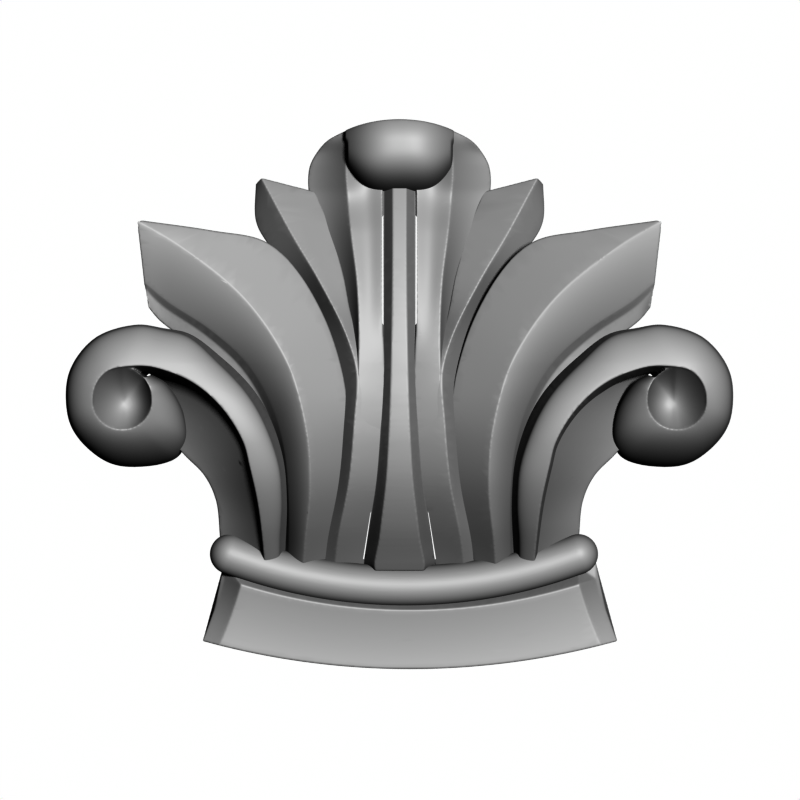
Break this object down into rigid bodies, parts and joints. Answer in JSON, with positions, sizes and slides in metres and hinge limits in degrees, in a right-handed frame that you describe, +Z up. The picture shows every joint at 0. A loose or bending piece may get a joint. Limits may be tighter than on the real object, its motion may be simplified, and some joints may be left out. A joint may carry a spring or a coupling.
{
  "type": "carved onlay",
  "caption": "Palmette onlay carved in high relief: a fan of ridged leaves with a folded tip and side scrolls, rising from a round bead on a curved plinth bar, with a flat back for fixing.",
  "frame": {"origin": "on the flat back, behind the plinth bar, on the middle line of the leaves", "axes": "+Z up the leaves, +X to the right as seen from the front, +Y out of the flat back into the wall; the carving faces -Y"},
  "size_m": [0.2002, 0.0498, 0.165],
  "materials": {
    "satin_grey": "smooth cast resin in one neutral grey with a soft satin sheen, sharp arrises slightly rounded"
  },
  "bodies": {
    "root": {"onlay": "satin_grey"}
  },
  "joints": []
}
